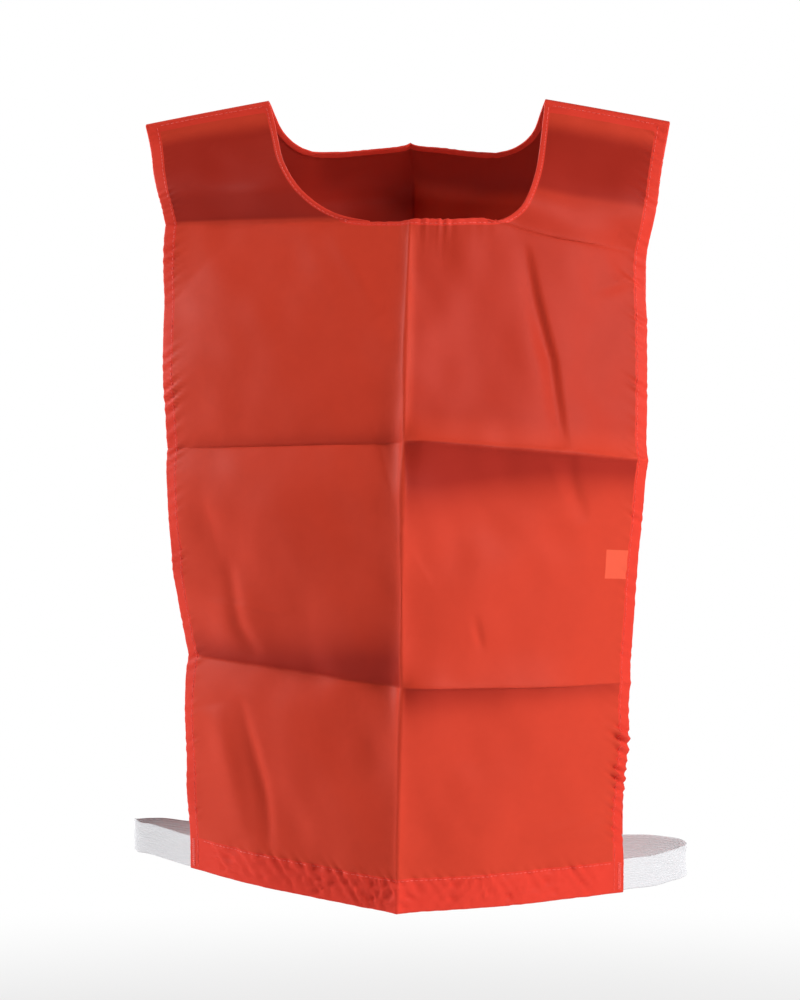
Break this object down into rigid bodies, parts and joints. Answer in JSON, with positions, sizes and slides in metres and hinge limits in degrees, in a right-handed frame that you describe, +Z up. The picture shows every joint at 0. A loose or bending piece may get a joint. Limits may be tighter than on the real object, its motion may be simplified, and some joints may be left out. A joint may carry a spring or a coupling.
{
  "type": "training bib",
  "caption": "Sleeveless cloth bib worn over the head, with folded hems, stitched shoulder seams and an elastic strap at each side.",
  "frame": {"origin": "middle of the shoulder line, at the height of the neck end of the shoulder seams, as worn", "axes": "+Z up, the wearer faces -Y, +X is the wearer's left"},
  "size_m": [0.3629, 0.226, 0.52],
  "materials": {
    "cloth": "thin satin taffeta",
    "thread": "matt polyester thread",
    "elastic": "ribbed knitted elastic",
    "label": "smooth woven label"
  },
  "bodies": {
    "front": {"front_panel": "cloth", "left_strap": "elastic", "right_strap": "elastic", "care_label": "label", "front_neck_stitching": "thread", "front_left_side_stitching": "thread", "front_right_side_stitching": "thread", "front_bottom_stitching": "thread", "left_shoulder_stitching": "thread", "right_shoulder_stitching": "thread", "front_left_bartack": "thread", "front_right_bartack": "thread"},
    "back": {"back_panel": "cloth", "back_neck_stitching": "thread", "back_left_side_stitching": "thread", "back_right_side_stitching": "thread", "back_bottom_stitching": "thread", "back_left_bartack": "thread", "back_right_bartack": "thread"}
  },
  "joints": [
    {"name": "shoulder_swing", "type": "hinge", "parent": "front", "child": "back", "pos_m": [0, 0, -0.0075], "axis": [1, 0, 0], "range_deg": [-5, 20], "stiffness_Nm_per_rad": 1.5, "deforming": ["left_strap", "right_strap"]}
  ]
}
